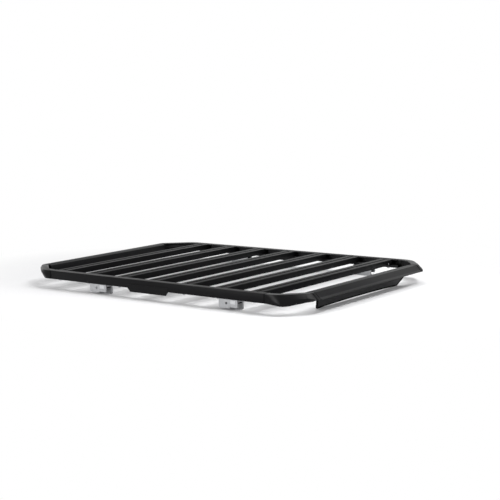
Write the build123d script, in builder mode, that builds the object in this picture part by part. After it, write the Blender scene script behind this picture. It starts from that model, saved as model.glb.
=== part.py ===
"""Flat platform roof rack: an extruded perimeter frame with cast corners, seven slotted planks,
a wind deflector under the front rail and four clamp feet.

Millimetres, +Z up. The front faces -Y, the left side is at -X, and the feet stand on Z = 0.
"""

import os
from math import atan2, cos, degrees, hypot, radians, sin, tan

from build123d import *

os.makedirs("parts", exist_ok=True)

# Frame
rack_width = 1320.0  # over the side rails' outer faces
rack_length = 1924.0  # rear rail's belly to the front rail's nose
rail_height = 47.0  # side rails, top to underside
rail_wall = 3.0
foot_height = 57.0  # floor to the side rails' underside
seat_gap = 0.3  # between pieces that rest on each other
joint_gap = 0.6  # between a rail's end and its corner casting

# Side rail section
side_lip = 42.0
channel_width = 40.0

# Rear rail section
rear_lip = 46.0
rear_belly = 10.0  # how far the belly stands out behind the top edge
rear_belly_drop = 19.0
rear_tuck = 18.0  # how far the underside starts in front of the top edge

# Front rail section, forward of the lip's inner edge
front_lip = 43.0
face_reach = 25.0
face_drop = 24.0
ledge_reach = 11.5
ledge_drop = 9.0
return_tuck = 30.0
return_drop = 7.0

# Corner castings
casting_wall = 4.0
face_wall = 4.5  # a casting's wall, measured level, where its face slopes
nose_wall = 4.8  # the same at its nose
casting_flange = 30.0
casting_crown = 1.0  # how far a casting's wall swells beside a side rail
front_corner_length = 225.0  # along the side, from the front rail's nose to the side rail
rear_corner_length = 212.0  # along the side, from the rear rail's top edge to the side rail
front_side_blend = 58.0  # straight length taken up by the top of a front corner's bend beside a side rail
rear_side_blend = 37.0  # the same for a rear corner
cross_blend = 26.0  # the same beside the front or rear rail
bend_steps = 8  # stations that a casting's section takes round a bend
seam_straight = 1.0  # straight end of a casting beside the front or rear rail
corner_cut_width = 133.0  # corners' cuts, along the front and the rear
cut_lip = 36.0  # corners' lip along the cut
front_cut_length = 115.0  # front corners' cuts, along the side
rear_cut_length = 149.0  # rear corners' cuts, along the side
cut_lean = 22.0  # how far a front corner's lower edge stands out from its top edge along the cut
corner_dip = 7.5  # how far a front corner hangs below the side rail where its two planes meet
cut_dip = 6.0  # the same at the start of its cut
crease_start = 12.0  # depth of a front corner's crease where its first bend starts
crease_margin = 7.0  # its height above the lower edge where the two planes meet
fold_depth = 36.0  # depth of a front corner's fold at the start of its cut
slope_end_drop = 23.0  # depth of its sloping face at the end of its cut
fold_end_drop = 27.0  # depth of its fold there
under_end_reach = 12.0  # how far its lower edge still stands out there
under_end_drop = 42.0  # depth of its lower edge there
turn_share = 0.35  # share of the way to the front rail's section in the middle of its second bend
rear_cut_belly = 9.0  # rear corners' belly along the cut
rear_cut_belly_drop = 14.0
rear_cut_tuck = 9.0

# Planks
plank_count = 7
plank_top_width = 75.0
plank_bottom_width = 69.0
plank_height = 31.0
plank_wall = 2.5
slot_mouth = 12.0
plank_slot_cavity = 21.0
plank_slot_depth = 11.0
plank_lip = 3.0  # thickness over the slot's cavity
plank_end_inset = 8.0  # plank's end, in from the side rail's outer face
first_plank_setback = 266.0  # rear top edge to the first plank's centre
last_plank_setback = 218.5  # front rail's inner edge to the last plank's centre
entry_length = 28.0  # opening in the rear plank's slot that lets a bolt's head in
entry_width = 19.0

# Plank end caps
cap_plate = 3.0
cap_tongue_show = 6.0  # how far the tongue in the slot reaches past the side rail's lip
cap_margin = 1.0

# Wind deflector
deflector_sheet = 3.0
deflector_end_inset = 68.0  # top corner, in from the front rail's end
deflector_end_slant = 40.0
deflector_setback = 13.5  # bend, in front of the front rail's inner face
deflector_lean = 33.0  # how far back the lower edge is
deflector_arch = 7.0
deflector_floor_gap = 3.0
deflector_flange = 28.0
deflector_corner = 8.0
deflector_bend = 4.0  # inside radius

# Side plates
plate_length = 283.0
plate_slant = 17.0
plate_overlap = 20.0
plate_drop = 20.0
plate_thickness = 2.5
plate_setback = 935.0  # rear top edge to the plates' centre

# Clamp feet
foot_length = 118.0
foot_jaw_length = 72.0
foot_rear_setback = 568.0  # rear top edge to the rear feet's centre
foot_spacing = 893.0
foot_inset = 6.0  # jaw's outer face, in from the side rail's outer face
foot_round = 12.0  # a jaw's or a leg's lower corners, seen from the side
jaw_wall = 8.0
clamp_gap = 36.0
leg_wall = 10.0
hook_reach = 6.0
hook_height = 9.0
foot_plate = 13.0
boss_foot = 16.0  # bracket's outer boss, its lower end above the floor
jaw_foot = 10.0  # jaw's lower end above the floor
boss_round = 6.0
pad_thickness = 6.0
pad_margin = 1.0
pad_round = 4.0

# Places worked out from the sizes above
rail_bottom = foot_height
rail_top = foot_height + rail_height
half_width = rack_width / 2
cross_half_length = half_width - corner_cut_width - cross_blend - seam_straight
front_nose_y = -rack_length / 2
rear_belly_y = rack_length / 2
rear_edge_y = rear_belly_y - rear_belly
front_lip_y = front_nose_y + ledge_reach + face_reach
front_inner_y = front_lip_y + front_lip
rear_inner_y = rear_edge_y - rear_lip
side_front_y = front_nose_y + front_corner_length
side_rear_y = rear_edge_y - rear_corner_length
front_drop = face_drop + ledge_drop + return_drop
plank_top = rail_top
plank_notch = rail_wall + seat_gap  # depth that a plank's ends lose to go under the side rails' lips
plank_bottom = plank_top - plank_height
channel_height = plank_bottom - seat_gap - rail_bottom
plank_half_length = half_width - plank_end_inset
first_plank_y = rear_edge_y - first_plank_setback
plank_pitch = (first_plank_y - front_inner_y - last_plank_setback) / (plank_count - 1)
foot_ys = {"rear": rear_edge_y - foot_rear_setback}
foot_ys["front"] = foot_ys["rear"] - foot_spacing


def finish(part, name):
    """Names a finished piece and writes it."""
    part.label = name
    export_step(part, f"parts/{name}.step")


# Side rails: an outer wall, a top lip and a closed lower channel
with BuildPart() as side_rail_left:
    with BuildSketch(Plane.XZ.offset(-(side_rear_y - joint_gap))):
        with BuildLine():
            Polyline(
                (-half_width, rail_bottom),
                (-half_width + channel_width, rail_bottom),
                (-half_width + channel_width, rail_bottom + channel_height),
                (-half_width + rail_wall, rail_bottom + channel_height),
                (-half_width + rail_wall, rail_top - rail_wall),
                (-half_width + side_lip, rail_top - rail_wall),
                (-half_width + side_lip, rail_top),
                (-half_width, rail_top),
                close=True,
            )
        make_face()
        with Locations((-half_width + channel_width / 2, rail_bottom + channel_height / 2)):
            Rectangle(channel_width - 2 * rail_wall, channel_height - 2 * rail_wall, mode=Mode.SUBTRACT)
    extrude(amount=side_rear_y - side_front_y - 2 * joint_gap)
finish(side_rail_left.part, "side_rail_left")

with BuildPart() as side_rail_right:
    mirror(side_rail_left.part, about=Plane.YZ)
finish(side_rail_right.part, "side_rail_right")

# Rear rail: a closed box with a belly behind
with BuildPart() as rear_rail:
    with BuildSketch(Plane.YZ.offset(-(cross_half_length - joint_gap))):
        with BuildLine():
            Polyline(
                (rear_inner_y, rail_top),
                (rear_edge_y, rail_top),
                (rear_belly_y, rail_top - rear_belly_drop),
                (rear_edge_y - rear_tuck, rail_bottom),
                (rear_inner_y, rail_bottom),
                close=True,
            )
        make_face()
        offset(amount=-rail_wall, mode=Mode.SUBTRACT)
    extrude(amount=2 * (cross_half_length - joint_gap))
finish(rear_rail.part, "rear_rail")

# Front rail: a closed box whose front slopes out to a nose
with BuildPart() as front_rail:
    with BuildSketch(Plane.YZ.offset(-(cross_half_length - joint_gap))):
        with BuildLine():
            Polyline(
                (front_inner_y, rail_top),
                (front_lip_y, rail_top),
                (front_lip_y - face_reach, rail_top - face_drop),
                (front_nose_y, rail_top - face_drop - ledge_drop),
                (front_nose_y + return_tuck, rail_top - front_drop),
                (front_inner_y, rail_top - front_drop),
                close=True,
            )
        make_face()
        offset(amount=-rail_wall, mode=Mode.SUBTRACT)
    extrude(amount=2 * (cross_half_length - joint_gap))
finish(front_rail.part, "front_rail")


def corner_casting(stations):
    """A cast corner: one open wall section, lofted through stations round the turn.

    A station is its top edge's place, the way outward there, and its section: the lip's width and the
    outward reach of the face, the nose and the underside, then the drop of each of these three.
    """
    with BuildPart() as corner:
        for place, outward, section in stations:
            lip, face, nose, under, face_fall, nose_fall, under_fall = section
            along = outward.cross(Vector(0, 0, 1))
            with BuildSketch(Plane(place + Vector(0, 0, rail_top), x_dir=outward, z_dir=along)):
                with BuildLine():
                    Polyline(
                        (-lip, 0),
                        (0, 0),
                        (face, -face_fall),
                        (nose, -nose_fall),
                        (under, -under_fall),
                        (-casting_flange, -under_fall),
                        (-casting_flange, casting_wall - under_fall),
                        (under - casting_wall, casting_wall - under_fall),
                        (nose - nose_wall, -nose_fall),
                        (face - face_wall, -face_fall),
                        (-casting_wall, -casting_wall),
                        (-lip, -casting_wall),
                        close=True,
                    )
                make_face()
        loft(ruled=True)
    return corner.part


def mix(first, last, share):
    """Sizes part of the way from one section to another."""
    return [start + (end - start) * share for start, end in zip(first, last)]


def evenly(first, middle, last):
    """Sections round a bend that go evenly from the first to the middle and on to the last."""

    def section_at(share, radius, turn):
        return mix(first, middle, 2 * share) if share < 0.5 else mix(middle, last, 2 * share - 1)

    return section_at


def creased(share, radius, turn):
    """Section in a front corner's first bend: the top is round, but the lower edge runs on in the side's
    plane until it meets the leaning plane of the cut."""
    apex = atan2(1 + cut_lean / radius - cos(turn), sin(turn))
    turned = turn * share
    if turned < apex:
        reach = radius / cos(turned) - radius
        drop = rail_height + corner_dip * tan(turned) / tan(apex)
        crease = crease_start + (apex_crease - crease_start) * turned / apex
        reaches = (reach / 2 + casting_crown, reach + casting_crown, reach + half_crown)
        return (cut_lip, *reaches, crease / 2, crease, drop)
    done = (turned - apex) / (turn - apex)
    reach = (radius + cut_lean) / cos(turn - turned) - radius
    at_apex = (apex_crease / 2, apex_crease, apex_drop)
    at_cut = (slope_end_drop, fold_depth, cut_drop)
    slope, fold, drop = mix(at_apex, at_cut, done)
    lean = reach / drop
    reaches = (lean * slope + casting_crown, lean * fold + casting_crown, reach + half_crown)
    return (cut_lip, *reaches, slope, fold, drop)


def bend(vertex, blend, fore, turns, section_at):
    """Stations round one bend of a corner, each with its own section."""
    turn = radians(turns[1] - turns[0])
    radius = blend / tan(turn / 2)
    travel = Vector(sin(radians(turns[0])), fore * cos(radians(turns[0])))
    inward = Vector(cos(radians(turns[0])), -fore * sin(radians(turns[0])))
    centre = vertex - travel * blend + inward * radius
    stations = []
    for step in range(bend_steps + 1):
        share = step / bend_steps
        heading = radians(turns[0]) + turn * share
        outward = Vector(-cos(heading), fore * sin(heading))
        stations.append((centre + outward * radius, outward, section_at(share, radius, turn)))
    return stations


def corner_stations(fore, seam, cut_start, cut_end, side_blend, first_bend, second_bend):
    """Stations round a cut corner, from the side rail's seam to the front or rear rail's."""
    cut = cut_end - cut_start
    turn = degrees(atan2(cut.X, abs(cut.Y)))
    to_rail = bend(cut_end, cross_blend, fore, (turn, 90), second_bend)
    return [
        seam,
        *bend(cut_start, side_blend, fore, (0, turn), first_bend),
        *to_rail,
        (Vector(-cross_half_length, cut_end.Y), Vector(0, fore), to_rail[-1][2]),
    ]


# Sections of the corner castings: reaches first, then drops
nose_reach = face_reach + ledge_reach
nose_drop = face_drop + ledge_drop
under_reach = nose_reach - return_tuck
half_crown = casting_crown / 2
cut_drop = rail_height + cut_dip
apex_drop = rail_height + corner_dip
apex_crease = apex_drop - crease_margin
front_seam_section = (
    side_lip,
    casting_crown,
    casting_crown,
    half_crown,
    crease_start / 2,
    crease_start,
    rail_height,
)
rear_seam_section = (side_lip, half_crown, casting_crown, half_crown, face_drop, nose_drop, rail_height)
front_cut_end = (
    cut_lip,
    cut_lean - casting_crown,
    cut_lean,
    under_end_reach,
    slope_end_drop,
    fold_end_drop,
    under_end_drop,
)
beside_front_rail = (front_lip, face_reach, nose_reach, under_reach, face_drop, nose_drop, front_drop)
rear_cut = (
    cut_lip,
    rear_cut_belly,
    (rear_cut_belly - rear_cut_tuck) / 2 + casting_crown,
    -rear_cut_tuck,
    rear_cut_belly_drop,
    (rear_cut_belly_drop + rail_height) / 2,
    rail_height,
)
beside_rear_rail = (
    rear_lip,
    rear_belly,
    (rear_belly - rear_tuck) / 2 + casting_crown,
    -rear_tuck,
    rear_belly_drop,
    (rear_belly_drop + rail_height) / 2,
    rail_height,
)

front_corner_left = corner_casting(
    corner_stations(
        -1,
        (Vector(-half_width, side_front_y), Vector(-1, 0), front_seam_section),
        Vector(-half_width, front_lip_y + front_cut_length),
        Vector(-half_width + corner_cut_width, front_lip_y),
        front_side_blend,
        creased,
        evenly(front_cut_end, mix(front_cut_end, beside_front_rail, turn_share), beside_front_rail),
    )
)
finish(front_corner_left, "front_corner_left")

with BuildPart() as front_corner_right:
    mirror(front_corner_left, about=Plane.YZ)
finish(front_corner_right.part, "front_corner_right")

rear_corner_left = corner_casting(
    corner_stations(
        1,
        (Vector(-half_width, side_rear_y), Vector(-1, 0), rear_seam_section),
        Vector(-half_width, rear_edge_y - rear_cut_length),
        Vector(-half_width + corner_cut_width, rear_edge_y),
        rear_side_blend,
        evenly(rear_seam_section, mix(rear_seam_section, rear_cut, 0.5), rear_cut),
        evenly(rear_cut, mix(rear_cut, beside_rear_rail, 0.5), beside_rear_rail),
    )
)
finish(rear_corner_left, "rear_corner_left")

with BuildPart() as rear_corner_right:
    mirror(rear_corner_left, about=Plane.YZ)
finish(rear_corner_right.part, "rear_corner_right")

# Planks: extrusions with three chambers under and beside a slot along the top, notched at the ends
chamber_width = (plank_bottom_width - plank_slot_cavity) / 2 - 2 * plank_wall
chamber_offset = (plank_slot_cavity + chamber_width) / 2 + plank_wall
chamber_floor = plank_bottom + plank_wall
chamber_height = plank_height - plank_notch - 2 * plank_wall
lower_chamber_height = plank_height - plank_slot_depth - 2 * plank_wall
slot_floor = plank_top - plank_slot_depth
slot_roof = plank_top - plank_lip
notch_length = side_lip - plank_end_inset + joint_gap
notch_x = plank_half_length - notch_length / 2
tongue_length = side_lip - plank_end_inset + cap_tongue_show
entry_x = plank_half_length - tongue_length - entry_length / 2
for number in range(1, plank_count + 1):
    plank_y = first_plank_y - plank_pitch * (number - 1)
    with BuildPart() as plank:
        with BuildSketch(Plane.YZ.offset(-plank_half_length)):
            with BuildLine():
                Polyline(
                    (plank_y - plank_bottom_width / 2, plank_bottom),
                    (plank_y + plank_bottom_width / 2, plank_bottom),
                    (plank_y + plank_top_width / 2, plank_top),
                    (plank_y - plank_top_width / 2, plank_top),
                    close=True,
                )
            make_face()
            with Locations((plank_y, plank_top)):
                Rectangle(slot_mouth, 2 * plank_lip, mode=Mode.SUBTRACT)
            with Locations((plank_y, (slot_floor + slot_roof) / 2)):
                Rectangle(plank_slot_cavity, slot_roof - slot_floor, mode=Mode.SUBTRACT)
            with Locations((plank_y, chamber_floor + lower_chamber_height / 2)):
                Rectangle(plank_slot_cavity, lower_chamber_height, mode=Mode.SUBTRACT)
            with Locations(
                (plank_y - chamber_offset, chamber_floor + chamber_height / 2),
                (plank_y + chamber_offset, chamber_floor + chamber_height / 2),
            ):
                Rectangle(chamber_width, chamber_height, mode=Mode.SUBTRACT)
        extrude(amount=2 * plank_half_length)
        with BuildSketch(Plane.XY.offset(plank_top)):
            with Locations((-notch_x, plank_y), (notch_x, plank_y)):
                Rectangle(notch_length, plank_top_width)
        extrude(amount=-plank_notch, mode=Mode.SUBTRACT)
        if number == 1:
            with BuildSketch(Plane.XY.offset(plank_top)):
                with Locations((-entry_x, plank_y), (entry_x, plank_y)):
                    SlotOverall(entry_length, entry_width)
            extrude(amount=-plank_lip, mode=Mode.SUBTRACT)
    finish(plank.part, f"plank_{number}")

    # End caps: a plate over the chambers and a tongue that closes the slot under the side rail's lip
    with BuildPart() as cap:
        with BuildSketch(Plane.YZ.offset(-plank_half_length - seat_gap)):
            with BuildLine():
                Polyline(
                    (plank_y - plank_bottom_width / 2 + cap_margin, plank_bottom + cap_margin),
                    (plank_y + plank_bottom_width / 2 - cap_margin, plank_bottom + cap_margin),
                    (plank_y + plank_top_width / 2 - cap_margin, plank_top - plank_notch - cap_margin),
                    (plank_y - plank_top_width / 2 + cap_margin, plank_top - plank_notch - cap_margin),
                    close=True,
                )
            make_face()
        extrude(amount=-cap_plate)
        with BuildSketch(Plane.YZ.offset(-plank_half_length - seat_gap)):
            with Locations((plank_y, (slot_floor + slot_roof) / 2)):
                Rectangle(plank_slot_cavity - 2 * seat_gap, slot_roof - slot_floor - 2 * seat_gap)
        extrude(amount=tongue_length + seat_gap)
    finish(cap.part, f"plank_{number}_cap_left")

    with BuildPart() as cap_right:
        mirror(cap.part, about=Plane.YZ)
    finish(cap_right.part, f"plank_{number}_cap_right")

# Wind deflector: a sheet bent under the front rail, with an arched lower edge
deflector_top = rail_top - front_drop - seat_gap
deflector_height = deflector_top - deflector_floor_gap
deflector_slant = deflector_sheet * hypot(deflector_lean, deflector_height) / deflector_height
deflector_top_y = front_inner_y - deflector_setback
deflector_foot_y = deflector_top_y + deflector_lean
deflector_top_half = cross_half_length - deflector_end_inset
deflector_bottom_half = deflector_top_half - deflector_end_slant
with BuildPart() as wind_deflector:
    with BuildSketch(Plane.YZ.offset(-deflector_top_half)) as bent_sheet:
        with BuildLine():
            Polyline(
                (deflector_top_y - deflector_flange, deflector_top),
                (deflector_top_y + deflector_slant, deflector_top),
                (deflector_foot_y + deflector_slant, deflector_floor_gap),
                (deflector_foot_y, deflector_floor_gap),
                (deflector_top_y, deflector_top - deflector_sheet),
                (deflector_top_y - deflector_flange, deflector_top - deflector_sheet),
                close=True,
            )
        make_face()
        outer_bend = (deflector_top_y + deflector_slant, deflector_top)
        fillet(bent_sheet.vertices().sort_by_distance(outer_bend)[0], deflector_bend + deflector_sheet)
        inner_bend = (deflector_top_y, deflector_top - deflector_sheet)
        fillet(bent_sheet.vertices().sort_by_distance(inner_bend)[0], deflector_bend)
    extrude(amount=2 * deflector_top_half)
    with BuildSketch(Plane.XZ.offset(-(deflector_foot_y + 2 * deflector_sheet))) as outline:
        with BuildLine():
            Polyline(
                (-deflector_bottom_half, deflector_floor_gap),
                (-deflector_top_half, deflector_top),
                (deflector_top_half, deflector_top),
                (deflector_bottom_half, deflector_floor_gap),
            )
            ThreePointArc(
                (-deflector_bottom_half, deflector_floor_gap),
                (0, deflector_floor_gap + deflector_arch),
                (deflector_bottom_half, deflector_floor_gap),
            )
        make_face()
        fillet(outline.vertices().group_by(Axis.Y)[0], deflector_corner)
    extrude(amount=deflector_lean + deflector_flange + 3 * deflector_sheet, mode=Mode.INTERSECT)
finish(wind_deflector.part, "wind_deflector")

# Side plates: bare plates on the side rails' outer faces, cut back at the ends below the rail
plate_y = rear_edge_y - plate_setback
with BuildPart() as side_plate_left:
    with BuildSketch(Plane.YZ.offset(-half_width - seat_gap)):
        with BuildLine():
            Polyline(
                (plate_y - plate_length / 2, rail_bottom + plate_overlap),
                (plate_y + plate_length / 2, rail_bottom + plate_overlap),
                (plate_y + plate_length / 2, rail_bottom),
                (plate_y + plate_length / 2 - plate_slant, rail_bottom - plate_drop),
                (plate_y - plate_length / 2 + plate_slant, rail_bottom - plate_drop),
                (plate_y - plate_length / 2, rail_bottom),
                close=True,
            )
        make_face()
    extrude(amount=-plate_thickness)
    chamfer(side_plate_left.faces().sort_by(Axis.X)[0].edges(), plate_thickness / 3)
finish(side_plate_left.part, "side_plate_left")

with BuildPart() as side_plate_right:
    mirror(side_plate_left.part, about=Plane.YZ)
finish(side_plate_right.part, "side_plate_right")

# Clamp feet: a bracket with an inner leg, a bolted outer jaw and a pad between them
jaw_x = -half_width + foot_inset
gap_x = jaw_x + jaw_wall
leg_x = gap_x + clamp_gap
foot_inner_x = leg_x + leg_wall
bracket_top = rail_bottom - seat_gap
bracket_under = bracket_top - foot_plate
for end, foot_y in foot_ys.items():
    foot_rear_y = foot_y + foot_length / 2
    foot_front_y = foot_y - foot_length / 2
    jaw_front_y = foot_rear_y - foot_jaw_length
    with BuildPart() as foot_bracket:
        with BuildSketch(Plane.XZ.offset(-foot_rear_y)):
            with BuildLine():
                Polyline(
                    (gap_x + seat_gap, bracket_top),
                    (foot_inner_x, bracket_top),
                    (foot_inner_x, 0),
                    (leg_x - hook_reach, 0),
                    (leg_x - hook_reach, hook_height / 2),
                    (leg_x, hook_height),
                    (leg_x, bracket_under),
                    (gap_x + seat_gap, bracket_under),
                    close=True,
                )
            make_face()
        extrude(amount=foot_length)
        with BuildSketch(Plane.YZ.offset(gap_x)) as leg_outline:
            with Locations((foot_y, bracket_top / 2)):
                Rectangle(foot_length, bracket_top)
            fillet(leg_outline.vertices().group_by(Axis.Y)[0], foot_round)
        extrude(amount=foot_inner_x - gap_x, mode=Mode.INTERSECT)
        with BuildSketch(Plane.YZ.offset(jaw_x)) as boss_outline:
            with BuildLine():
                Polyline(
                    (foot_front_y, bracket_top),
                    (jaw_front_y - seat_gap, bracket_top),
                    (jaw_front_y - seat_gap, boss_foot),
                    (foot_front_y, boss_foot),
                    close=True,
                )
            make_face()
            fillet(boss_outline.vertices().group_by(Axis.Y)[0], boss_round)
        extrude(amount=jaw_wall + 2 * seat_gap)
    finish(foot_bracket.part, f"foot_bracket_{end}_left")

    with BuildPart() as foot_jaw:
        with BuildSketch(Plane.XZ.offset(-foot_rear_y)):
            with BuildLine():
                Polyline(
                    (jaw_x, bracket_top),
                    (gap_x, bracket_top),
                    (gap_x, jaw_foot + hook_height),
                    (gap_x + hook_reach, jaw_foot + hook_height / 2),
                    (gap_x + hook_reach, jaw_foot),
                    (jaw_x, jaw_foot),
                    close=True,
                )
            make_face()
        extrude(amount=foot_jaw_length)
        with BuildSketch(Plane.YZ.offset(jaw_x)) as jaw_outline:
            with Locations((foot_rear_y - foot_jaw_length / 2, (jaw_foot + bracket_top) / 2)):
                Rectangle(foot_jaw_length, bracket_top - jaw_foot)
            fillet(jaw_outline.vertices().group_by(Axis.Y)[0], foot_round)
        extrude(amount=jaw_wall + hook_reach, mode=Mode.INTERSECT)
    finish(foot_jaw.part, f"foot_jaw_{end}_left")

    with BuildPart() as foot_pad:
        with BuildSketch(Plane.XY.offset(bracket_under - seat_gap)):
            with Locations(((gap_x + leg_x) / 2, foot_y)):
                RectangleRounded(clamp_gap - 2 * pad_margin, foot_length - 2 * pad_margin, pad_round)
        extrude(amount=-pad_thickness)
    finish(foot_pad.part, f"foot_pad_{end}_left")

    for piece, name in ((foot_bracket, "foot_bracket"), (foot_jaw, "foot_jaw"), (foot_pad, "foot_pad")):
        with BuildPart() as opposite:
            mirror(piece.part, about=Plane.YZ)
        finish(opposite.part, f"{name}_{end}_right")
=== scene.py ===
"""Looks of a flat platform roof rack: finishes, fasteners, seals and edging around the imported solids."""
import math

import bmesh
import bpy
from bpy.props import FloatProperty, FloatVectorProperty, PointerProperty, StringProperty
from mathutils import Matrix, Vector


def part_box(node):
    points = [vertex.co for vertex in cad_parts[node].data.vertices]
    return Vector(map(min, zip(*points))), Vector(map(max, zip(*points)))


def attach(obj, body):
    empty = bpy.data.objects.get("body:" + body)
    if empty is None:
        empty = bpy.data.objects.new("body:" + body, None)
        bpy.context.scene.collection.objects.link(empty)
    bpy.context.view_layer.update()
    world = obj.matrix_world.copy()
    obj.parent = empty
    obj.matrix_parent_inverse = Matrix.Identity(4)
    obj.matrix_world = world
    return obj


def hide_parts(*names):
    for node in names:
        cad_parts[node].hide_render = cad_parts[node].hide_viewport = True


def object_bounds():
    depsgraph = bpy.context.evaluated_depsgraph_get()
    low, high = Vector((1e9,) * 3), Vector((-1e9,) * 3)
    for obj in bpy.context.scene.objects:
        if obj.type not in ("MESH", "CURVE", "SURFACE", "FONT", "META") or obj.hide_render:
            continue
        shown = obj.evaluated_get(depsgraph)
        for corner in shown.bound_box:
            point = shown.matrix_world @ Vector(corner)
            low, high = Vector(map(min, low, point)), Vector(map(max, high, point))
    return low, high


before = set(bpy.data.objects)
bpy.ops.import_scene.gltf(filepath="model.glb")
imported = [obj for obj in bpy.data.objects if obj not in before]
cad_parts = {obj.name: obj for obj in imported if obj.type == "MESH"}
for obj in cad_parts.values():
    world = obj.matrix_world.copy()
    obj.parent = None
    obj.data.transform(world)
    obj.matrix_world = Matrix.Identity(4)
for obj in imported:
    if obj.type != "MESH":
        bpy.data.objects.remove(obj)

bl_info = {
    "name": "Flat Platform Roof Rack",
    "version": (1, 0, 0),
    "blender": (4, 5, 0),
    "location": "View3D > Sidebar > Roof Rack",
    "description": "Dresses the rack's solids with coats, fasteners, seals and edging, and sets up the stage",
    "category": "Object",
}

CAD_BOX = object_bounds()
MM = 0.001
WHITE = "#ffffff"
SIDES = (("left", -1), ("right", 1))
ENDS = ("rear", "front")
PLANKS = [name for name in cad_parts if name.startswith("plank") and "cap" not in name]
SIDE_RAILS = ("side_rail_left", "side_rail_right")
CROSS_RAILS = ("front_rail", "rear_rail")
CORNERS = [f"{end}_corner_{side}" for end in ENDS for side, _ in SIDES]
FEET = [f"{end}_{side}" for end in ENDS for side, _ in SIDES]

# Fasteners' heads, ring by ring from the seat to the middle: radius and height in mm, number of sides
HEX_HEAD_ON_WASHER = (
    (9.0, 0.0, 20), (9.0, 1.4, 20), (8.4, 1.8, 20),
    (6.6, 1.8, 6), (7.5, 2.6, 6), (7.5, 6.4, 6), (6.3, 7.2, 6), (0.5, 7.2, 6),
)
BUTTON_HEAD = (
    (5.0, 0.0, 18), (5.0, 0.8, 18), (4.4, 2.0, 18), (3.2, 2.7, 18),
    (2.0, 2.7, 6), (2.0, 0.9, 6),
)
SUNK_HEAD = (
    (6.5, -1.0, 18), (6.5, 0.6, 18), (5.9, 1.1, 18), (4.6, 1.1, 18),
    (3.2, 1.0, 6), (3.2, -1.0, 6),
)


def linear(code):
    """Turns an sRGB hex colour into the linear colour that a shader socket takes."""
    parts = [int(code[i:i + 2], 16) / 255 for i in (1, 3, 5)]
    return [c / 12.92 if c <= 0.04045 else ((c + 0.055) / 1.055) ** 2.4 for c in parts] + [1.0]


def per_metre(millimetres):
    """Gives the texture scale at which one feature of a noise is this many millimetres wide."""
    return 1 / (millimetres * MM)


def add_node(tree, kind, settings=None, sockets=None, links=None):
    """Adds one node, sets its properties and sockets, and links its inputs from other nodes' outputs."""
    node = tree.nodes.new(kind)
    for key, value in (settings or {}).items():
        setattr(node, key, value)
    for key, value in (sockets or {}).items():
        node.inputs[key].default_value = value
    for key, source in (links or {}).items():
        tree.links.new(source, node.inputs[key])
    return node


def new_material(name):
    """Starts an empty node material with its output."""
    material = bpy.data.materials.new(name)
    material.use_nodes = True
    tree = material.node_tree
    tree.nodes.clear()
    return material, tree, add_node(tree, "ShaderNodeOutputMaterial")


def coat_material(name, colour, shade, roughness, specular, peel_mm, lump_mm, lump_depth_mm):
    """Coat or moulded skin: a fine peel, over the wider lumps and patches of what lies below it."""
    shade_share, colour_share = 0.3, 0.7
    peel_low, peel_high = 0.25, 0.75
    smoothest, roughest = roughness - 0.04, roughness + 0.05
    lump_strength, peel_strength = 0.5, 0.35
    peel_depth_mm = 0.05

    material, tree, output = new_material(name)
    place = add_node(tree, "ShaderNodeTexCoord").outputs["Object"]
    peel = add_node(tree, "ShaderNodeTexNoise", sockets={"Scale": per_metre(peel_mm), "Detail": 2.0},
                    links={"Vector": place})
    lumps = add_node(tree, "ShaderNodeTexNoise", sockets={"Scale": per_metre(lump_mm), "Detail": 3.0},
                     links={"Vector": place})
    tint = add_node(tree, "ShaderNodeValToRGB", links={"Fac": lumps.outputs["Fac"]})
    darker, lighter = tint.color_ramp.elements
    darker.position, darker.color = shade_share, linear(shade)
    lighter.position, lighter.color = colour_share, linear(colour)
    gloss = add_node(tree, "ShaderNodeMapRange",
                     sockets={"From Min": peel_low, "From Max": peel_high,
                              "To Min": smoothest, "To Max": roughest},
                     links={"Value": peel.outputs["Fac"]})
    under = add_node(tree, "ShaderNodeBump",
                     sockets={"Strength": lump_strength, "Distance": lump_depth_mm * MM},
                     links={"Height": lumps.outputs["Fac"]})
    skin = add_node(tree, "ShaderNodeBump",
                    sockets={"Strength": peel_strength, "Distance": peel_depth_mm * MM},
                    links={"Height": peel.outputs["Fac"], "Normal": under.outputs["Normal"]})
    surface = add_node(tree, "ShaderNodeBsdfPrincipled",
                       sockets={"Specular IOR Level": specular, "IOR": 1.5},
                       links={"Base Color": tint.outputs["Color"], "Roughness": gloss.outputs["Result"],
                              "Normal": skin.outputs["Normal"]})
    tree.links.new(surface.outputs["BSDF"], output.inputs["Surface"])
    return material


def bolt_steel(name, colour, smoothest, roughest):
    """Cold headed and tumbled steel, with a soft grain that breaks up its reflections."""
    grain_mm, mark_depth_mm = 1.5, 0.05
    grain_low, grain_high = 0.3, 0.7

    material, tree, output = new_material(name)
    place = add_node(tree, "ShaderNodeTexCoord").outputs["Object"]
    tumble = add_node(tree, "ShaderNodeTexNoise", sockets={"Scale": per_metre(grain_mm), "Detail": 3.0},
                      links={"Vector": place})
    gloss = add_node(tree, "ShaderNodeMapRange",
                     sockets={"From Min": grain_low, "From Max": grain_high,
                              "To Min": smoothest, "To Max": roughest},
                     links={"Value": tumble.outputs["Fac"]})
    marks = add_node(tree, "ShaderNodeBump", sockets={"Strength": 0.2, "Distance": mark_depth_mm * MM},
                     links={"Height": tumble.outputs["Fac"]})
    surface = add_node(tree, "ShaderNodeBsdfPrincipled",
                       sockets={"Base Color": linear(colour), "Metallic": 1.0},
                       links={"Roughness": gloss.outputs["Result"], "Normal": marks.outputs["Normal"]})
    tree.links.new(surface.outputs["BSDF"], output.inputs["Surface"])
    return material


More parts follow.
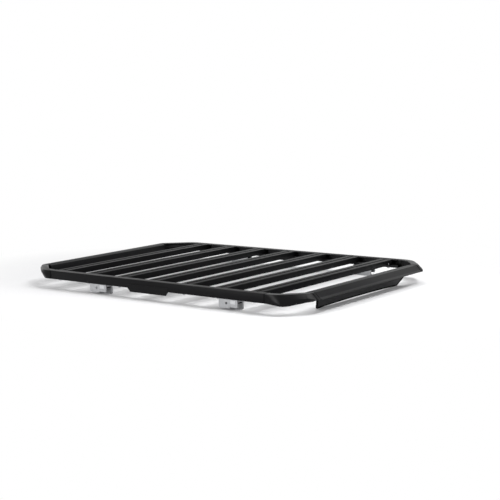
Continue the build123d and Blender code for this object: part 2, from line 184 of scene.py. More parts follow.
def finishes():
    """Gives every finish of the rack by name, and makes them on the first call."""
    look = bpy.context.scene.rack_finish
    if "powder_coated_extrusion" not in bpy.data.materials:
        # Peels and grains are 0.3 to 0.8 mm wide on the real things. They are drawn at 0.8 to 1.5 mm,
        # because finer ones would be lost between pixels.

        # Powder coat on extruded aluminium: flat, even and satin, with a peel too fine to count.
        coat_material("powder_coated_extrusion", look.coat_colour, look.coat_shade, look.coat_roughness,
                      look.coat_specular, peel_mm=1.2, lump_mm=60, lump_depth_mm=0.02)
        # The same coat with a higher specular level on the faces that lean forward and look up, a painted
        # sheen that makes these ledges give back more of the sky.
        coat_material("powder_coated_ledge", look.coat_colour, look.coat_shade, look.coat_roughness,
                      look.ledge_painted_sheen_level, peel_mm=1.2, lump_mm=60, lump_depth_mm=0.02)
        # The same coat made a lighter grey on the upright faces that look inward: painted light on these
        # walls.
        coat_material("powder_coated_hollow", look.hollow_painted_light_colour, look.hollow_painted_light_patches, look.coat_roughness,
                      look.coat_specular, peel_mm=1.2, lump_mm=30, lump_depth_mm=0.03)
        # The same coat on the planks, with the castings' darker black and a lower specular level: painted
        # shade on the planks.
        coat_material("powder_coated_plank", look.casting_and_plank_painted_shade_colour, look.casting_and_plank_painted_shade_patches, look.coat_roughness,
                      look.plank_painted_shade_level, peel_mm=1.2, lump_mm=45, lump_depth_mm=0.02)
        # Powder coat on cast aluminium: the skin of the mould stays in the coat as soft lumps. Its black is
        # darker than the rails': painted shade.
        coat_material("powder_coated_casting", look.casting_and_plank_painted_shade_colour, look.casting_and_plank_painted_shade_patches,
                      look.casting_roughness, look.casting_specular,
                      peel_mm=1.4, lump_mm=9, lump_depth_mm=0.03)
        # Powder coat on bent sheet: flat like the extrusions, with long shallow waves of the rolled sheet.
        # Its grey is lighter than the rails' black: painted light on the deflector.
        coat_material("powder_coated_sheet", look.sheet_painted_light_colour, look.sheet_painted_light_patches, look.coat_roughness,
                      look.coat_specular, peel_mm=1.2, lump_mm=140, lump_depth_mm=0.08)
        # Glass filled nylon, moulded: matt, with a fine pebbled grain.
        coat_material("moulded_nylon", look.nylon_colour, look.nylon_shade, roughness=0.55, specular=0.08,
                      peel_mm=1.0, lump_mm=5, lump_depth_mm=0.03)
        # Pale satin paint on cast aluminium: even and soft, with the lumps of the casting just showing.
        coat_material("painted_foot_casting", look.foot_colour, look.foot_shade, roughness=0.45, specular=0.4,
                      peel_mm=1.5, lump_mm=12, lump_depth_mm=0.06)
        # The same paint where it lies thicker and lighter, over the feet's raised pads.
        coat_material("painted_foot_pad", look.pad_colour, look.pad_shade, roughness=0.4, specular=0.4,
                      peel_mm=1.5, lump_mm=12, lump_depth_mm=0.06)
        # Rubber, extruded and dusty: dead matt, with a bloom that greys it in patches.
        coat_material("extruded_rubber", look.rubber_colour, look.rubber_shade, roughness=0.8, specular=0.02,
                      peel_mm=0.8, lump_mm=25, lump_depth_mm=0.03)
        # Foam seal, squeezed into a joint: black and open celled, so it gives back almost no light.
        coat_material("foam_joint_seal", look.foam_colour, look.foam_shade, roughness=0.9, specular=0.0,
                      peel_mm=0.8, lump_mm=6, lump_depth_mm=0.05)
        # Zinc plated bolt steel: bright and bluish, with a soft grain from tumbling.
        bolt_steel("zinc_bolt_steel", look.zinc_colour, smoothest=0.28, roughest=0.42)
        # Zinc plated bolt steel that weather has dulled: a middle grey, only half bright.
        bolt_steel("dulled_bolt_steel", look.dulled_colour, smoothest=0.38, roughest=0.52)
        # Blackened bolt steel: nearly black, oily and only half bright.
        bolt_steel("blackened_bolt_steel", look.blackened_colour, smoothest=0.35, roughest=0.5)
    return bpy.data.materials


def dress(node, finish):
    """Gives a solid of the frame a finish in place of the plain one it came with."""
    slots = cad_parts[node].data.materials
    slots.clear()
    slots.append(finishes()[finish])


def new_piece(name, bm, finish, smooth_angle=35):
    """Makes a piece from a bmesh, with its finish and its ride on the rack."""
    mesh = bpy.data.meshes.new(name)
    bm.to_mesh(mesh)
    bm.free()
    mesh.shade_smooth()
    mesh.set_sharp_from_angle(angle=math.radians(smooth_angle))
    mesh.materials.append(finishes()[finish])
    piece = bpy.data.objects.new(name, mesh)
    bpy.context.scene.collection.objects.link(piece)
    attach(piece, "root")
    return piece


def merged_copy(node):
    """Copies a solid's mesh into a bmesh, with its loose triangles joined up into whole faces."""
    weld, flat_angle = 0.01 * MM, math.radians(0.5)
    bm = bmesh.new()
    bm.from_mesh(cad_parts[node].data)
    bmesh.ops.remove_doubles(bm, verts=bm.verts, dist=weld)
    bmesh.ops.dissolve_limit(bm, angle_limit=flat_angle, verts=bm.verts, edges=bm.edges)
    return bm


def bevel_edges(bm, edges, width, segments, clamp=True):
    """Bevels some edges of a bmesh, round with several segments or as a chamfer with one."""
    return bmesh.ops.bevel(bm, geom=edges, offset=width, offset_type="OFFSET", segments=segments, profile=0.5,
                           affect="EDGES", clamp_overlap=clamp, material=-1)


def rounded_piece(node, name, finish, radius, segments=2, smooth_angle=35, bm=None):
    """Makes a piece that stands for a solid, with its hard edges rounded as a die, a mould or a coat does."""
    hard_angle = math.radians(40)
    bm = merged_copy(node) if bm is None else bm
    hard = [edge for edge in bm.edges if edge.is_manifold and edge.calc_face_angle() > hard_angle]
    bevel_edges(bm, hard, radius, segments)
    piece = new_piece(name, bm, finish, smooth_angle)
    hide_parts(node)
    return piece


def paint_faces(piece, finish, wanted):
    """Gives the faces of a piece that a test picks out a finish of their own."""
    mesh = piece.data
    mesh.materials.append(finishes()[finish])
    for face in mesh.polygons:
        if wanted(face):
            face.material_index = len(mesh.materials) - 1


def takes_painted_sheen(face):
    """Tells whether a face leans forward and looks mostly up, as the front rail's ledge does: such faces get
    a painted sheen.
    """
    sizes = bpy.context.scene.rack_sizes
    return face.normal.y < -sizes.ledge_lean and face.normal.z > sizes.ledge_rise


def takes_painted_light(face):
    """Tells whether a face stands upright and looks inward, toward the middle of the rack: such faces get
    painted light.
    """
    upright = abs(face.normal.z) < 0.5
    return upright and face.normal.xy.dot(face.center.xy) < 0


def keep_slice(bm, axis, low_mm, high_mm):
    """Cuts a bmesh down to what lies between two planes across an axis."""
    for place, inner in ((low_mm, True), (high_mm, False)):
        bmesh.ops.bisect_plane(bm, geom=bm.verts[:] + bm.edges[:] + bm.faces[:], plane_co=axis * place * MM,
                               plane_no=axis, clear_inner=inner, clear_outer=not inner)


def add_thickness(piece, thickness, offset):
    """Gives a piece's faces a wall: all inside them at an offset of -1, all outside at 1."""
    wall = piece.modifiers.new("wall", "SOLIDIFY")
    wall.thickness = thickness
    wall.offset = offset
    wall.use_even_offset = True


def add_head(bm, rings, place):
    """Adds a fastener's head: rings of radius, height and number of sides, joined from first to last."""
    loops = []
    for radius, height, sides in rings:
        made = bmesh.ops.create_circle(bm, cap_ends=False, segments=sides, radius=radius * MM,
                                       matrix=place @ Matrix.Translation((0, 0, height * MM)))
        loops.append(list({edge for vert in made["verts"] for edge in vert.link_edges}))
    for first, last in zip(loops, loops[1:]):
        bmesh.ops.bridge_loops(bm, edges=first + last)
    bmesh.ops.contextual_create(bm, geom=loops[-1])


def heads_piece(name, rings, places, finish):
    """Makes one piece of like fasteners' heads."""
    bm = bmesh.new()
    for place in places:
        add_head(bm, rings, place)
    bmesh.ops.recalc_face_normals(bm, faces=bm.faces)
    new_piece(name, bm, finish)


class RackSizes(bpy.types.PropertyGroup):
    """Small sizes of the rack's pieces."""
    rail_round: FloatProperty(
        name="Rail edge radius", description="Radius of the rails' edges",
        default=1.0 * MM, min=0.1 * MM, unit="LENGTH", subtype="DISTANCE")
    plank_round: FloatProperty(
        name="Plank edge radius", description="Radius of the planks' edges",
        default=0.8 * MM, min=0.1 * MM, unit="LENGTH", subtype="DISTANCE")
    casting_round: FloatProperty(
        name="Casting rim radius", description="Radius of the castings' rims",
        default=1.4 * MM, min=0.1 * MM, unit="LENGTH", subtype="DISTANCE")
    sheet_round: FloatProperty(
        name="Sheet edge radius", description="Radius of the deflector's edges",
        default=0.4 * MM, min=0.1 * MM, unit="LENGTH", subtype="DISTANCE")
    cap_round: FloatProperty(
        name="Cap edge radius", description="Radius of the plank caps' edges",
        default=0.5 * MM, min=0.1 * MM, unit="LENGTH", subtype="DISTANCE")
    plate_round: FloatProperty(
        name="Plate edge radius", description="Radius of the side plates' edges",
        default=0.8 * MM, min=0.1 * MM, unit="LENGTH", subtype="DISTANCE")
    foot_round: FloatProperty(
        name="Foot edge radius", description="Radius of the feet's edges",
        default=1.6 * MM, min=0.1 * MM, unit="LENGTH", subtype="DISTANCE")
    pad_round: FloatProperty(
        name="Pad edge radius", description="Radius of the edges of the feet's raised pads",
        default=1.4 * MM, min=0.1 * MM, unit="LENGTH", subtype="DISTANCE")
    pad_proud: FloatProperty(
        name="Pad height", description="How far the raised pads stand off the feet",
        default=1.6 * MM, min=0.1 * MM, unit="LENGTH", subtype="DISTANCE")
    # Which faces get the painted sheen of the ledges
    ledge_lean: FloatProperty(
        name="Ledge lean", description="Least forward share of the way a ledge faces",
        default=0.4, min=0.0, max=1.0, subtype="FACTOR")
    ledge_rise: FloatProperty(
        name="Ledge rise", description="Least upward share of the way a ledge faces",
        default=0.75, min=0.0, max=1.0, subtype="FACTOR")
    lip_drop: FloatProperty(
        name="Lip drop", description="Height of the slope at the rear rail's inner top edge",
        default=6.5 * MM, min=1.0 * MM, unit="LENGTH", subtype="DISTANCE")
    lip_run: FloatProperty(
        name="Lip run", description="Depth of the slope at the rear rail's inner top edge",
        default=14.0 * MM, min=1.0 * MM, unit="LENGTH", subtype="DISTANCE")
    seal_width: FloatProperty(
        name="Seal width", description="Width of the seals at the corner joints",
        default=2.8 * MM, min=0.5 * MM, unit="LENGTH", subtype="DISTANCE")
    rear_seal_width: FloatProperty(
        name="Rear seal width", description="Width of the seals at the rear side joints",
        default=1.0 * MM, min=0.5 * MM, unit="LENGTH", subtype="DISTANCE")
    seal_proud: FloatProperty(
        name="Seal height", description="How far the seals stand off the metal",
        default=0.4 * MM, min=0.1 * MM, unit="LENGTH", subtype="DISTANCE")
    edging_lip: FloatProperty(
        name="Edging lip", description="How far the deflector's edging stands off the sheet",
        default=1.5 * MM, min=0.2 * MM, unit="LENGTH", subtype="DISTANCE")
    edging_depth: FloatProperty(
        name="Edging depth", description="Whole depth of the deflector's edging, from its rim inward",
        default=9.0 * MM, min=2.0 * MM, unit="LENGTH", subtype="DISTANCE")
    edging_bead: FloatProperty(
        name="Edging bead", description="How far the edging goes past the sheet's edge",
        default=2.4 * MM, min=0.2 * MM, unit="LENGTH", subtype="DISTANCE")
    edging_start: FloatProperty(
        name="Edging start", description="How far below the deflector's top the edging ends",
        default=8.0 * MM, min=2.0 * MM, unit="LENGTH", subtype="DISTANCE")


class RackFinish(bpy.types.PropertyGroup):
    """Colours and gloss of the rack's finishes. Colours are sRGB hex, shades are those of darker patches."""
    coat_colour: StringProperty(
        name="Coat colour", description="Powder coat of the rails, sRGB hex", default="#101011")
    coat_shade: StringProperty(
        name="Coat shade", description="Powder coat of the rails in darker patches, sRGB hex",
        default="#0d0d0e")
    # Painted light: a lighter grey on the inward walls than the rails' coat
    hollow_painted_light_colour: StringProperty(
        name="Hollow colour", description="Painted light on the inward walls, sRGB hex", default="#2e2e2f")
    hollow_painted_light_patches: StringProperty(
        name="Hollow shade", description="Painted light on the inward walls in darker patches, sRGB hex", default="#282829")
    # Painted shade: a darker black than the rails' coat
    casting_and_plank_painted_shade_colour: StringProperty(
        name="Casting colour", description="Coat of the castings and planks, sRGB hex", default="#0b0b0c")
    casting_and_plank_painted_shade_patches: StringProperty(
        name="Casting shade", description="Coat of castings and planks in darker patches, sRGB hex",
        default="#09090a")
    # Painted light: a lighter grey than the rails' coat
    sheet_painted_light_colour: StringProperty(
        name="Sheet colour", description="Coat of the wind deflector, sRGB hex", default="#333334")
    sheet_painted_light_patches: StringProperty(
        name="Sheet shade", description="Coat of the wind deflector in darker patches, sRGB hex",
        default="#2f2f30")
    nylon_colour: StringProperty(
        name="Nylon colour", description="Moulded nylon, sRGB hex", default="#0f0f10")
    nylon_shade: StringProperty(
        name="Nylon shade", description="Moulded nylon in darker patches, sRGB hex", default="#0c0c0d")
    foot_colour: StringProperty(
        name="Foot colour", description="Paint of the feet, sRGB hex", default="#9d9ea0")
    foot_shade: StringProperty(
        name="Foot shade", description="Paint of the feet in darker patches, sRGB hex", default="#949597")
    pad_colour: StringProperty(
        name="Pad colour", description="Paint of the feet's raised pads, sRGB hex", default="#bbbcbe")
    pad_shade: StringProperty(
        name="Pad shade", description="Paint of the raised pads in darker patches, sRGB hex",
        default="#b2b3b5")
    rubber_colour: StringProperty(
        name="Rubber colour", description="Edging and clamp pads, sRGB hex", default="#0c0c0d")
    rubber_shade: StringProperty(
        name="Rubber shade", description="Edging and clamp pads in darker patches, sRGB hex",
        default="#090909")
    foam_colour: StringProperty(
        name="Foam colour", description="Seals in the joints, sRGB hex", default="#050506")
    foam_shade: StringProperty(
        name="Foam shade", description="Seals in darker patches, sRGB hex", default="#020202")
    zinc_colour: StringProperty(
        name="Zinc colour", description="Bright bolts, sRGB hex", default="#a9aaad")
    dulled_colour: StringProperty(
        name="Dulled zinc colour", description="Weathered bolts, sRGB hex", default="#6a6b6d")
    blackened_colour: StringProperty(
        name="Blackened colour", description="Blackened bolts, sRGB hex", default="#242425")
    coat_roughness: FloatProperty(
        name="Coat roughness", description="Roughness of the powder coat",
        default=0.44, min=0.2, max=0.9, subtype="FACTOR")
    casting_roughness: FloatProperty(
        name="Casting roughness", description="Roughness of the castings' coat",
        default=0.34, min=0.2, max=0.9, subtype="FACTOR")
    coat_specular: FloatProperty(
        name="Coat gloss", description="Specular level of the powder coat",
        default=0.065, min=0.0, max=1.0, subtype="FACTOR")
    # Painted sheen: a higher specular level on the ledges than on the rest of the coat
    ledge_painted_sheen_level: FloatProperty(
        name="Ledge gloss", description="Specular level along the ledges",
        default=0.15, min=0.0, max=1.0, subtype="FACTOR")
    casting_specular: FloatProperty(
        name="Casting gloss", description="Specular level of the castings' coat",
        default=0.085, min=0.0, max=1.0, subtype="FACTOR")
    # Painted shade: a lower specular level on the planks than on the rest of the coat
    plank_painted_shade_level: FloatProperty(
        name="Plank gloss", description="Specular level of the planks' coat",
        default=0.045, min=0.0, max=1.0, subtype="FACTOR")


class RackStage(bpy.types.PropertyGroup):
    """Camera, light and floor around the rack."""
    eye: FloatVectorProperty(
        name="Eye", description="Where the camera stands", size=3, subtype="TRANSLATION", unit="LENGTH",
        default=(-5.26637, -4.15814, 1.1218))
    forward: FloatVectorProperty(
        name="Forward", description="Where the camera looks", size=3, subtype="DIRECTION",
        default=(0.78864, 0.59915, -0.13809))
    upward: FloatVectorProperty(
        name="Upward", description="The picture's upward direction", size=3, subtype="DIRECTION",
        default=(0.12243, 0.06707, 0.99021))
    lens_mm: FloatProperty(
        name="Lens", description="Focal length in millimetres, for a 36 mm wide picture",
        default=86.647, min=20, subtype="DISTANCE_CAMERA")
    shift_y: FloatProperty(
        name="Shift", description="Vertical shift of the lens", default=-0.0005)
    sky: FloatProperty(
        name="Sky", description="Strength of the even light from all round", default=0.55, min=0)
    softbox: FloatProperty(
        name="Softbox", description="Power of the lamp overhead", default=50.0, min=0, unit="POWER")
    side_box: FloatProperty(
        name="Side box", description="Power of the lamp at the left", default=95.0, min=0, unit="POWER")
    front_box: FloatProperty(
        name="Front box", description="Power of the lamp above the front", default=80.0, min=0, unit="POWER")
    right_box: FloatProperty(
        name="Right box", description="Power of the lamp at the right", default=8.0, min=0, unit="POWER")
    fill_box: FloatProperty(
        name="Fill box", description="Power of the low lamp in front", default=60.0, min=0, unit="POWER")
    floor_colour: StringProperty(
        name="Floor colour", description="Floor under the rack, sRGB hex", default="#dededf")
    floor_clear: FloatProperty(
        name="Clear floor", description="Distance beside the rack where the floor is all backdrop",
        default=0.75, min=0.2, unit="LENGTH", subtype="DISTANCE")


class RACK_OT_extrusions(bpy.types.Operator):
    """Make the rails and planks, with the rounded edges that an extrusion die leaves"""
    bl_idname = "rack.extrusions"
    bl_label = "Rails and planks"

    def execute(self, context):
        sizes = context.scene.rack_sizes
        for rail in SIDE_RAILS + CROSS_RAILS:
            bm = merged_copy(rail)
            if rail == "rear_rail":
                self.slope_lip(bm, sizes.lip_drop, sizes.lip_run)
            piece = rounded_piece(rail, f"{rail}_coated", "powder_coated_extrusion", sizes.rail_round, bm=bm)
            if rail in CROSS_RAILS:
                # The cross rails' faces that lean forward and look up get a painted sheen
                paint_faces(piece, "powder_coated_ledge", takes_painted_sheen)
            else:
                # The side rails' inward faces get a lighter grey: painted light
                paint_faces(piece, "powder_coated_hollow", takes_painted_light)
        # The planks' coat is darker and less glossy than the rails': painted shade
        for plank in PLANKS:
            rounded_piece(plank, f"{plank}_coated", "powder_coated_plank", sizes.plank_round)
        return {"FINISHED"}

    def slope_lip(self, bm, drop, run):
        """Slopes the rear rail's inner top edge down toward the deck, and the inside of its wall with it."""
        past_wall, shortest = 4 * MM, 100 * MM
        low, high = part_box("rear_rail")
        near, tall = low.y + past_wall, high.z - past_wall
        edges = [edge for edge in bm.edges if edge.calc_length() > shortest
                 and all(vert.co.y < near and vert.co.z > tall for vert in edge.verts)]
        made = bevel_edges(bm, edges, drop, segments=1, clamp=False)
        upper = [vert for vert in made["verts"] if vert.co.z > tall]
        bmesh.ops.translate(bm, verts=upper, vec=Vector((0, run - drop, 0)))


class RACK_OT_castings(bpy.types.Operator):
    """Make the cast corners, smooth round their bends and with rounded rims"""
    bl_idname = "rack.castings"
    bl_label = "Corner castings"

    def execute(self, context):
        radius = context.scene.rack_sizes.casting_round
        for corner in CORNERS:
            # Their coat is a darker black than the rails': painted shade
            piece = rounded_piece(corner, f"{corner}_coated", "powder_coated_casting", radius, segments=3,
                                  smooth_angle=50)
            # Their inward faces get a lighter grey: painted light
            paint_faces(piece, "powder_coated_hollow", takes_painted_light)
        return {"FINISHED"}


class RACK_OT_seals(bpy.types.Operator):
    """Line the joints between the castings and the rails with dark seals"""
    bl_idname = "rack.seals"
    bl_label = "Joint seals"

    def execute(self, context):
        sizes = context.scene.rack_sizes
        along, across = Vector((0, 1, 0)), Vector((1, 0, 0))
        # All in millimetres from here on, as the cuts take them
        width, rear_width = sizes.seal_width / MM, sizes.rear_seal_width / MM
        rail_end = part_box("front_rail")[1].x / MM
        front_joint, rear_joint = rail_end + 17.5, rail_end + 5.5
        for side, sign in SIDES:
            front_corner, rear_corner = f"front_corner_{side}", f"rear_corner_{side}"
            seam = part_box(front_corner)[1].y / MM
            self.seal(f"front_side_seal_{side}", front_corner, along, seam - width, seam)
            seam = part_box(rear_corner)[0].y / MM
            self.seal(f"rear_side_seal_{side}", rear_corner, along, seam, seam + rear_width)

            slices = (
                (f"front_seal_{side}", "front_rail", rail_end, rail_end - width),
                (f"front_corner_seal_{side}", front_corner, front_joint, front_joint + width),
                (f"rear_seal_{side}", rear_corner, rear_joint, rear_joint + width),
            )
            for name, node, start, end in slices:
                self.seal(name, node, across, *sorted((sign * start, sign * end)))
        return {"FINISHED"}

    def seal(self, name, node, axis, low_mm, high_mm):
        """Cuts a thin slice of a solid and lays it over that solid as a seal."""
        proud = bpy.context.scene.rack_sizes.seal_proud
        bm = merged_copy(node)
        keep_slice(bm, axis, low_mm, high_mm)
        add_thickness(new_piece(name, bm, "foam_joint_seal"), proud, 1.0)


class RACK_OT_deflector(bpy.types.Operator):
    """Make the wind deflector, with a rubber edging along its lower edge and ends"""
    bl_idname = "rack.deflector"
    bl_label = "Wind deflector"

    def execute(self, context):
        sizes = context.scene.rack_sizes
        # The sheet gets a lighter grey than the rails: painted light
        rounded_piece("wind_deflector", "wind_deflector_coated", "powder_coated_sheet", sizes.sheet_round)

        bm = merged_copy("wind_deflector")
        clear_below_mm = 1.0
        low, high = (corner.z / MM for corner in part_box("wind_deflector"))
        keep_slice(bm, Vector((0, 0, 1)), low - clear_below_mm, high - sizes.edging_start / MM)
        front_faces = [face for face in bm.faces if face.normal.y < -0.5]
        sheet = max(front_faces, key=lambda face: face.calc_area())
        front, middle = sheet.normal.copy(), sheet.calc_center_median()
        downward = front.cross(Vector((1, 0, 0)))
        downward = downward if downward.z < 0 else -downward
        broad = [face for face in bm.faces if not self.on_rim(face, front, downward)]
        bmesh.ops.delete(bm, geom=broad, context="FACES")

        inside_sheet = -1 * MM
        for ahead in (True, False):
            lip = [vert for vert in bm.verts if ((vert.co - middle).dot(front) > inside_sheet) == ahead]
            bmesh.ops.translate(bm, verts=lip, vec=front * (sizes.edging_lip if ahead else -sizes.edging_lip))
        edging = new_piece("deflector_edging", bm, "extruded_rubber", smooth_angle=50)
        add_thickness(edging, sizes.edging_depth, 2 * sizes.edging_bead / sizes.edging_depth - 1)
        return {"FINISHED"}

    def on_rim(self, face, front, downward):
        """Tells whether a face of the sheet is part of its lower edge or its ends."""
        across_sheet = abs(face.normal.dot(front)) < 0.6
        looks_down = face.normal.dot(downward) > 0.3
        looks_sideways = abs(face.normal.x) > 0.5
        return across_sheet and (looks_down or looks_sideways)


class RACK_OT_mouldings(bpy.types.Operator):
    """Make the planks' end caps and the bare side plates, moulded with soft edges"""
    bl_idname = "rack.mouldings"
    bl_label = "Mouldings"

    def execute(self, context):
        sizes = context.scene.rack_sizes
        for plank in PLANKS:
            for side, _ in SIDES:
                cap = f"{plank}_cap_{side}"
                rounded_piece(cap, f"{cap}_moulded", "moulded_nylon", sizes.cap_round)
        for side, _ in SIDES:
            plate = f"side_plate_{side}"
            rounded_piece(plate, f"{plate}_moulded", "moulded_nylon", sizes.plate_round)
        return {"FINISHED"}


class RACK_OT_feet(bpy.types.Operator):
    """Paint the clamp feet, and add their bolts and raised pads"""
    bl_idname = "rack.feet"
    bl_label = "Clamp feet"

    def execute(self, context):
        sizes = context.scene.rack_sizes
        bolt_back, bolt_height = 23 * MM, 36 * MM
        pad_ahead, pad_height = 18 * MM, 43 * MM
        pad_length, pad_width = 32 * MM, 20 * MM
        pad_size = Matrix.Diagonal((2 * sizes.pad_proud, pad_length, pad_width, 1))
        for foot in FEET:
            for casting in (f"foot_bracket_{foot}", f"foot_jaw_{foot}"):
                rounded_piece(casting, f"{casting}_painted", "painted_foot_casting", sizes.foot_round)
            dress(f"foot_pad_{foot}", "extruded_rubber")

            sign = -1 if foot.endswith("left") else 1
            low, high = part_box(f"foot_jaw_{foot}")
            face_x = low.x if sign < 0 else high.x
            outward = Matrix.Rotation(math.radians(90 * sign), 4, "Y")
            place = Matrix.Translation((face_x, low.y + bolt_back, bolt_height)) @ outward
            heads_piece(f"foot_bolt_{foot}", SUNK_HEAD, [place], "dulled_bolt_steel")

            bm = bmesh.new()
            place = Matrix.Translation((face_x, low.y - pad_ahead, pad_height)) @ pad_size
            bmesh.ops.create_cube(bm, size=1.0, matrix=place)
            bevel_edges(bm, bm.edges[:], sizes.pad_round, segments=3)
            new_piece(f"foot_raised_pad_{foot}", bm, "painted_foot_pad")
        return {"FINISHED"}


class RACK_OT_bolts(bpy.types.Operator):
    """Add the bolts below the planks, castings and deflector, and the screws in the front plank"""
    bl_idname = "rack.bolts"
    bl_label = "Bolts and screws"

    def execute(self, context):
        # Places are in millimetres, on the right half of the rack
        downward = Matrix.Rotation(math.pi, 4, "X")
        forward = Matrix.Rotation(math.radians(90), 4, "X")
        low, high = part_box("side_rail_right")
        side_inset = 20.0
        column, underside = high.x / MM - side_inset, low.z / MM

        under_planks = [(column, self.middle(plank).y / MM, underside) for plank in PLANKS]
        self.bolts("plank_bolts", HEX_HEAD_ON_WASHER, under_planks, downward, "zinc_bolt_steel",
                   "pale_grey_casting")

        from_seam, front_inset, rear_inset = 16.0, 31.0, 34.0
        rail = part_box("front_rail")
        beside_rail = rail[1].x / MM + from_seam
        under_castings = [
            (column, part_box("front_corner_right")[1].y / MM - from_seam, underside),
            (column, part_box("rear_corner_right")[0].y / MM + from_seam, underside),
            (beside_rail, rail[1].y / MM - front_inset, rail[0].z / MM),
            (beside_rail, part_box("rear_rail")[1].y / MM - rear_inset, underside),
        ]
        self.bolts("casting_bolts", BUTTON_HEAD, under_castings, downward, "blackened_bolt_steel",
                   "black_coated_casting")

        sheet, flange_middle, screw_columns = 3.0, 13.0, (130.0, 380.0)
        edge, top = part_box("wind_deflector")
        under_flange = [(x, edge.y / MM + flange_middle, top.z / MM - sheet) for x in screw_columns]
        self.bolts("deflector_screws", BUTTON_HEAD, under_flange, downward, "blackened_bolt_steel",
                   "black_coated_casting")

        screw_column, sunk, above_underside = 582.0, 2.0, 8.5
        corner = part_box(PLANKS[-1])[0] / MM
        in_front_plank = [(screw_column, corner.y + sunk, corner.z + above_underside)]
        self.bolts("front_plank_screws", BUTTON_HEAD, in_front_plank, forward, "dulled_bolt_steel",
                   "pale_grey_casting")
        return {"FINISHED"}

    def middle(self, node):
        """Gives the middle of a solid's box."""
        low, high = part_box(node)
        return (low + high) / 2

    def bolts(self, name, head, spots, turn, finish, slot):
        """Makes one piece of like bolts, at spots in millimetres on the right and mirrored to the left."""
        places = [Matrix.Translation(Vector((sign * x, y, z)) * MM) @ turn
                  for x, y, z in spots for _, sign in SIDES]
        heads_piece(name, head, places, finish)


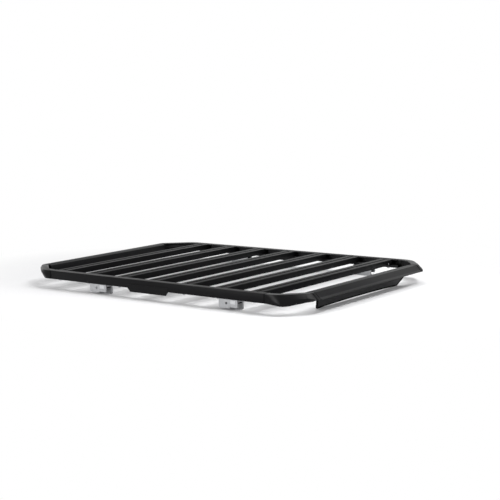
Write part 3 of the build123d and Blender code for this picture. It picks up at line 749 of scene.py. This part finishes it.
class RACK_OT_stage(bpy.types.Operator):
    """Set the camera, the light, the floor and the white backdrop"""
    bl_idname = "rack.stage"
    bl_label = "Stage"

    def execute(self, context):
        scene = context.scene
        stage = scene.rack_stage
        scene.view_settings.view_transform = "Standard"
        self.add_camera(scene, stage)
        self.add_world(scene, stage)

        # Lamps: name, place and size in metres, power in watts
        lamps = (
            ("softbox_overhead", (0.2, 0.3, 3.2), (3.0, 3.6), stage.softbox),
            ("softbox_left", (-4.35, 0.45, 1.15), (1.6, 1.5), stage.side_box),
            ("softbox_front", (0.1, -2.35, 3.1), (2.0, 0.9), stage.front_box),
            ("softbox_right", (3.6, -0.6, 2.4), (1.2, 1.2), stage.right_box),
            ("softbox_fill", (1.0, -4.2, 1.4), (2.0, 1.0), stage.fill_box),
        )
        for lamp in lamps:
            self.add_softbox(*lamp)

        floor_half = 40.0
        bm = bmesh.new()
        bmesh.ops.create_grid(bm, x_segments=1, y_segments=1, size=floor_half)
        mesh = bpy.data.meshes.new("floor")
        bm.to_mesh(mesh)
        bm.free()
        mesh.materials.append(self.floor_material(stage))
        floor = bpy.data.objects.new("floor", mesh)
        scene.collection.objects.link(floor)
        return {"FINISHED"}

    def add_camera(self, scene, stage):
        """Stands the camera where its settings say, with a lens for a 36 mm wide picture."""
        forward = Vector(stage.forward).normalized()
        right = forward.cross(Vector(stage.upward)).normalized()
        upward = right.cross(forward)
        lens = bpy.data.cameras.new("camera")
        lens.lens = stage.lens_mm
        lens.sensor_fit = "HORIZONTAL"
        lens.sensor_width = 36.0
        lens.clip_end = 200.0
        lens.shift_y = stage.shift_y
        camera = bpy.data.objects.new("camera", lens)
        turn = Matrix((right, upward, -forward)).transposed()
        camera.matrix_world = Matrix.Translation(Vector(stage.eye)) @ turn.to_4x4()
        scene.collection.objects.link(camera)
        scene.camera = camera

    def add_world(self, scene, stage):
        """Lights the rack evenly from all round, with a white backdrop where the eye or a gloss sees it."""
        world = bpy.data.worlds.new("white_studio")
        scene.world = world
        world.use_nodes = True
        tree = world.node_tree
        tree.nodes.clear()
        sky = add_node(tree, "ShaderNodeBackground", sockets={"Color": linear(WHITE), "Strength": stage.sky})
        white = add_node(tree, "ShaderNodeBackground", sockets={"Color": linear(WHITE), "Strength": 1.0})
        both = add_node(tree, "ShaderNodeMixShader",
                        links={0: self.shows_backdrop(tree), 1: sky.outputs[0], 2: white.outputs[0]})
        add_node(tree, "ShaderNodeOutputWorld", links={"Surface": both.outputs[0]})

    def shows_backdrop(self, tree):
        """Gives a socket that is 1 for rays from the camera, a gloss or a glass, and 0 for other light."""
        rays = add_node(tree, "ShaderNodeLightPath")
        seen = add_node(tree, "ShaderNodeMath", {"operation": "MAXIMUM"},
                        links={0: rays.outputs["Is Camera Ray"], 1: rays.outputs["Is Glossy Ray"]})
        shown = add_node(tree, "ShaderNodeMath", {"operation": "MAXIMUM"},
                         links={0: seen.outputs[0], 1: rays.outputs["Is Transmission Ray"]})
        return shown.outputs[0]

    def add_softbox(self, name, place, size, power):
        """Hangs a soft rectangular lamp that faces the middle of the rack."""
        lamp = bpy.data.lights.new(name, "AREA")
        lamp.shape = "RECTANGLE"
        lamp.size, lamp.size_y = size
        lamp.energy = power
        softbox = bpy.data.objects.new(name, lamp)
        softbox.location = place
        softbox.rotation_euler = Vector(place).to_track_quat("Z", "Y").to_euler()
        bpy.context.scene.collection.objects.link(softbox)

    def floor_material(self, stage):
        """Pale painted floor that keeps the rack's shadow and fades into the white backdrop away from it."""
        painted_share = 0.25
        width, length = (CAD_BOX[1] - CAD_BOX[0])[:2]
        material, tree, output = new_material("pale_studio_floor")
        place = add_node(tree, "ShaderNodeTexCoord").outputs["Object"]
        squat = add_node(tree, "ShaderNodeVectorMath", {"operation": "MULTIPLY"},
                         sockets={1: (1.0, width / length, 0.0)}, links={0: place})
        away = add_node(tree, "ShaderNodeVectorMath", {"operation": "LENGTH"},
                        links={0: squat.outputs["Vector"]})
        fade = add_node(tree, "ShaderNodeMapRange", {"interpolation_type": "SMOOTHSTEP"},
                        sockets={"From Min": width / 2 + painted_share * stage.floor_clear,
                                 "From Max": width / 2 + stage.floor_clear},
                        links={"Value": away.outputs["Value"]})
        share = add_node(tree, "ShaderNodeMath", {"operation": "MULTIPLY"},
                         links={0: fade.outputs["Result"], 1: self.shows_backdrop(tree)})
        paint = add_node(tree, "ShaderNodeBsdfDiffuse", sockets={"Color": linear(stage.floor_colour)})
        white = add_node(tree, "ShaderNodeEmission", sockets={"Color": linear(WHITE), "Strength": 1.0})
        both = add_node(tree, "ShaderNodeMixShader",
                        links={0: share.outputs[0], 1: paint.outputs[0], 2: white.outputs[0]})
        tree.links.new(both.outputs[0], output.inputs["Surface"])
        return material


OPERATORS = (
    RACK_OT_extrusions,
    RACK_OT_castings,
    RACK_OT_seals,
    RACK_OT_deflector,
    RACK_OT_mouldings,
    RACK_OT_feet,
    RACK_OT_bolts,
    RACK_OT_stage,
)


class RACK_PT_panel(bpy.types.Panel):
    """Lists the rack's pieces and their settings"""
    bl_label = "Roof Rack"
    bl_idname = "RACK_PT_panel"
    bl_space_type = "VIEW_3D"
    bl_region_type = "UI"
    bl_category = "Roof Rack"

    def draw(self, context):
        for operator in OPERATORS:
            self.layout.operator(operator.bl_idname)
        for settings in (context.scene.rack_sizes, context.scene.rack_finish, context.scene.rack_stage):
            box = self.layout.box()
            for key in settings.__annotations__:
                box.prop(settings, key)


CLASSES = (RackSizes, RackFinish, RackStage) + OPERATORS + (RACK_PT_panel,)


def register():
    """Registers the classes and hangs the settings on the scene."""
    for cls in CLASSES:
        bpy.utils.register_class(cls)
    bpy.types.Scene.rack_sizes = PointerProperty(type=RackSizes)
    bpy.types.Scene.rack_finish = PointerProperty(type=RackFinish)
    bpy.types.Scene.rack_stage = PointerProperty(type=RackStage)


def unregister():
    """Takes the settings off the scene and the classes out of Blender."""
    del bpy.types.Scene.rack_stage
    del bpy.types.Scene.rack_finish
    del bpy.types.Scene.rack_sizes
    for cls in reversed(CLASSES):
        bpy.utils.unregister_class(cls)


def main():
    """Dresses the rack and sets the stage."""
    register()
    bpy.ops.rack.extrusions()
    bpy.ops.rack.castings()
    bpy.ops.rack.seals()
    bpy.ops.rack.deflector()
    bpy.ops.rack.mouldings()
    bpy.ops.rack.feet()
    bpy.ops.rack.bolts()
    bpy.ops.rack.stage()


if __name__ == "__main__":
    main()
